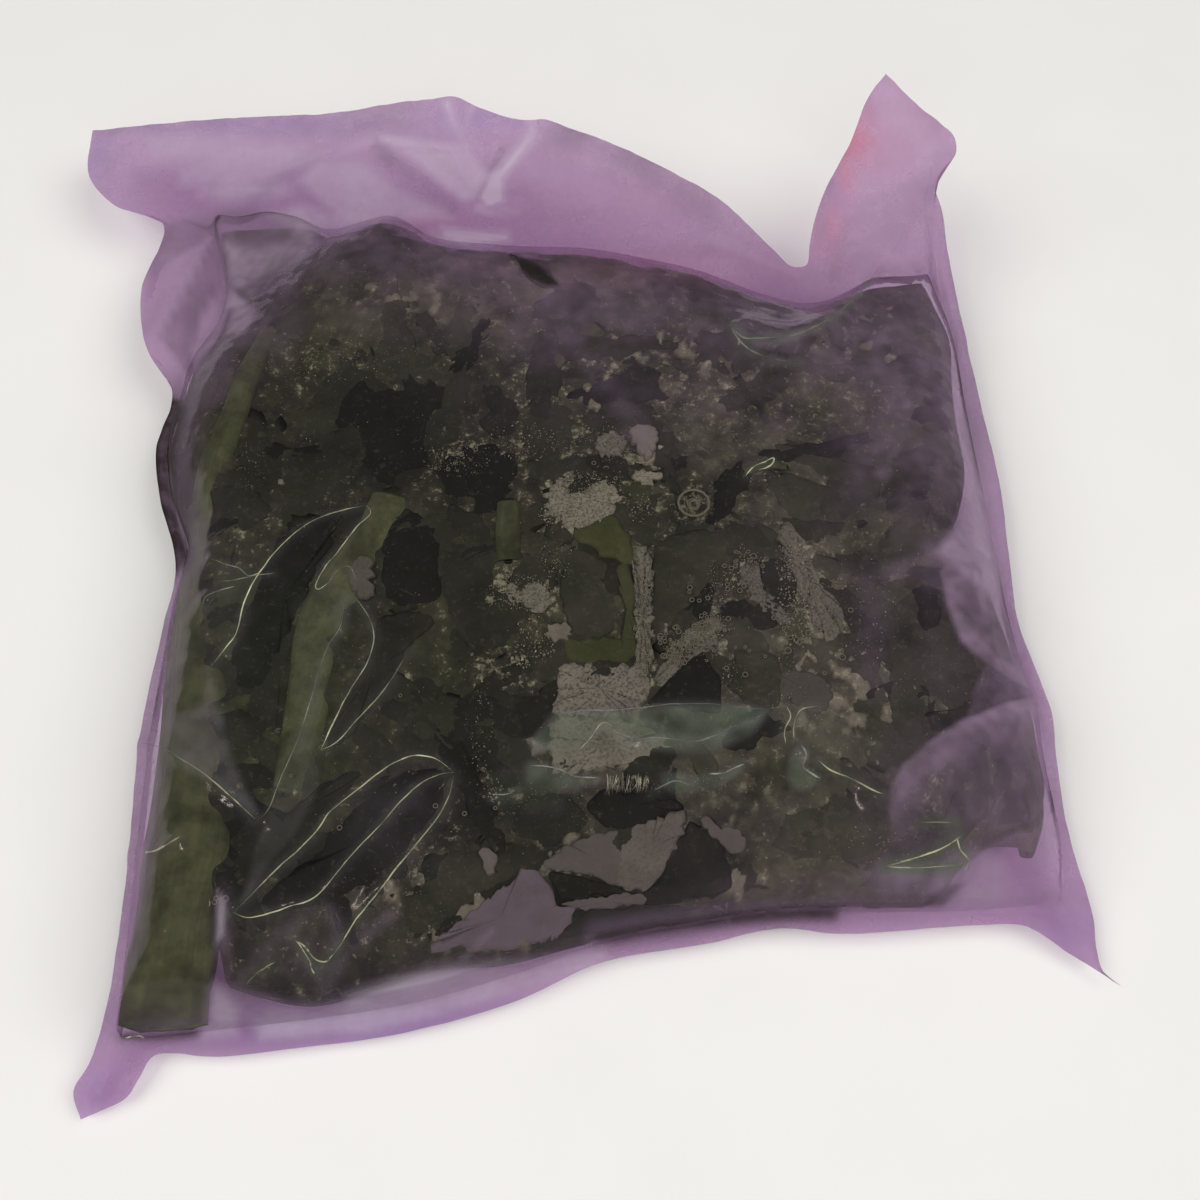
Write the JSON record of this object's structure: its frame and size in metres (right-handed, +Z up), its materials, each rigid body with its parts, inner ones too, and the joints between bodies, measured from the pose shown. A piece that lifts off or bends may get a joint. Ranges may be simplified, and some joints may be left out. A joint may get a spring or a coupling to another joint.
{
  "type": "bag of frozen malabar spinach",
  "caption": "Clear purple-tinted film pouch, sealed on four sides round a frozen slab of dark leaves and green stalks, lying flat with a wide flap at the top and one corner standing up.",
  "frame": {"origin": "on the surface the pouch lies on, at the middle of its footprint", "axes": "+Z up through the slab's thickness, +Y from the bottom seal towards the wide top flap, +X to the right seen from above with the top flap away from the viewer"},
  "size_m": [0.22, 0.2276, 0.036],
  "materials": {
    "film": "thin clear plastic film with a purple tint, glossy, crinkled",
    "leaf": "blanched and frozen leaves, nearly black green, damp sheen",
    "stalk": "blanched and frozen stalks, olive green, smooth",
    "ice": "cloudy frozen juice and white rime, beige to grey"
  },
  "bodies": {
    "root": {"pouch": "film"}
  },
  "joints": []
}
